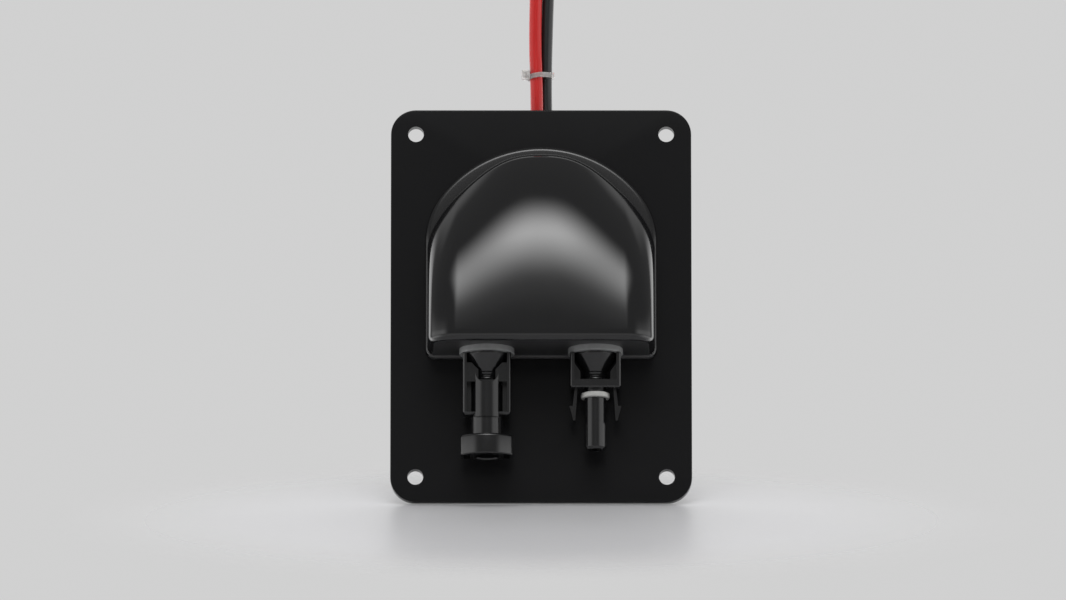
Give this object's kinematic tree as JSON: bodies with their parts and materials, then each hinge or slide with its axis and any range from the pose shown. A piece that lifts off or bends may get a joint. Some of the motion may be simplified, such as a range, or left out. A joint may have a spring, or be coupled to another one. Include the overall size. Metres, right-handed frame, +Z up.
{
  "type": "solar cable entry plate",
  "caption": "Black wall plate with a domed cable entry housing, hanging solar connectors with a wide mouth and a slim nose, and a red and a black lead tied together behind it.",
  "frame": {"origin": "centre of the plate's back face, which is the centre of its four fixing holes", "axes": "+X to the right seen from the front, +Z up, -Y out of the front; the plate's back face is the plane y = 0"},
  "size_m": [0.1142, 0.0497, 0.2013],
  "materials": {
    "black_sheet_plastic": "polished sheet",
    "glossy_moulded_plastic": "high gloss moulding",
    "gasket_rubber": "matt",
    "stainless_steel": "bright",
    "satin_connector_plastic": "satin moulding",
    "grey_washer_rubber": "satin",
    "pale_silicone": "satin",
    "tinned_contact_metal": "tin plated",
    "tinned_copper_strands": "tinned strands",
    "red_cable_jacket": "extruded satin",
    "black_cable_jacket": "extruded satin",
    "natural_nylon": "translucent white moulding"
  },
  "bodies": {
    "root": {"mounting_plate": "black_sheet_plastic", "housing_shell": "glossy_moulded_plastic", "housing_gasket": "gasket_rubber", "cable_grommet": "gasket_rubber", "housing_screw_1": "stainless_steel", "housing_screw_2": "stainless_steel", "housing_screw_3": "stainless_steel", "housing_screw_4": "stainless_steel", "pin_connector_body": "satin_connector_plastic", "socket_connector_body": "satin_connector_plastic", "pin_lock_nut": "satin_connector_plastic", "socket_lock_nut": "satin_connector_plastic", "pin_sealing_washer": "grey_washer_rubber", "socket_sealing_washer": "grey_washer_rubber", "nose_seal_ring": "pale_silicone", "pin_wire_seal": "gasket_rubber", "socket_wire_seal": "gasket_rubber", "pin_contact": "tinned_contact_metal", "socket_contact": "tinned_contact_metal", "red_conductor": "tinned_copper_strands", "black_conductor": "tinned_copper_strands", "red_lead": "red_cable_jacket", "black_lead": "black_cable_jacket", "cable_tie": "natural_nylon"}
  },
  "joints": []
}
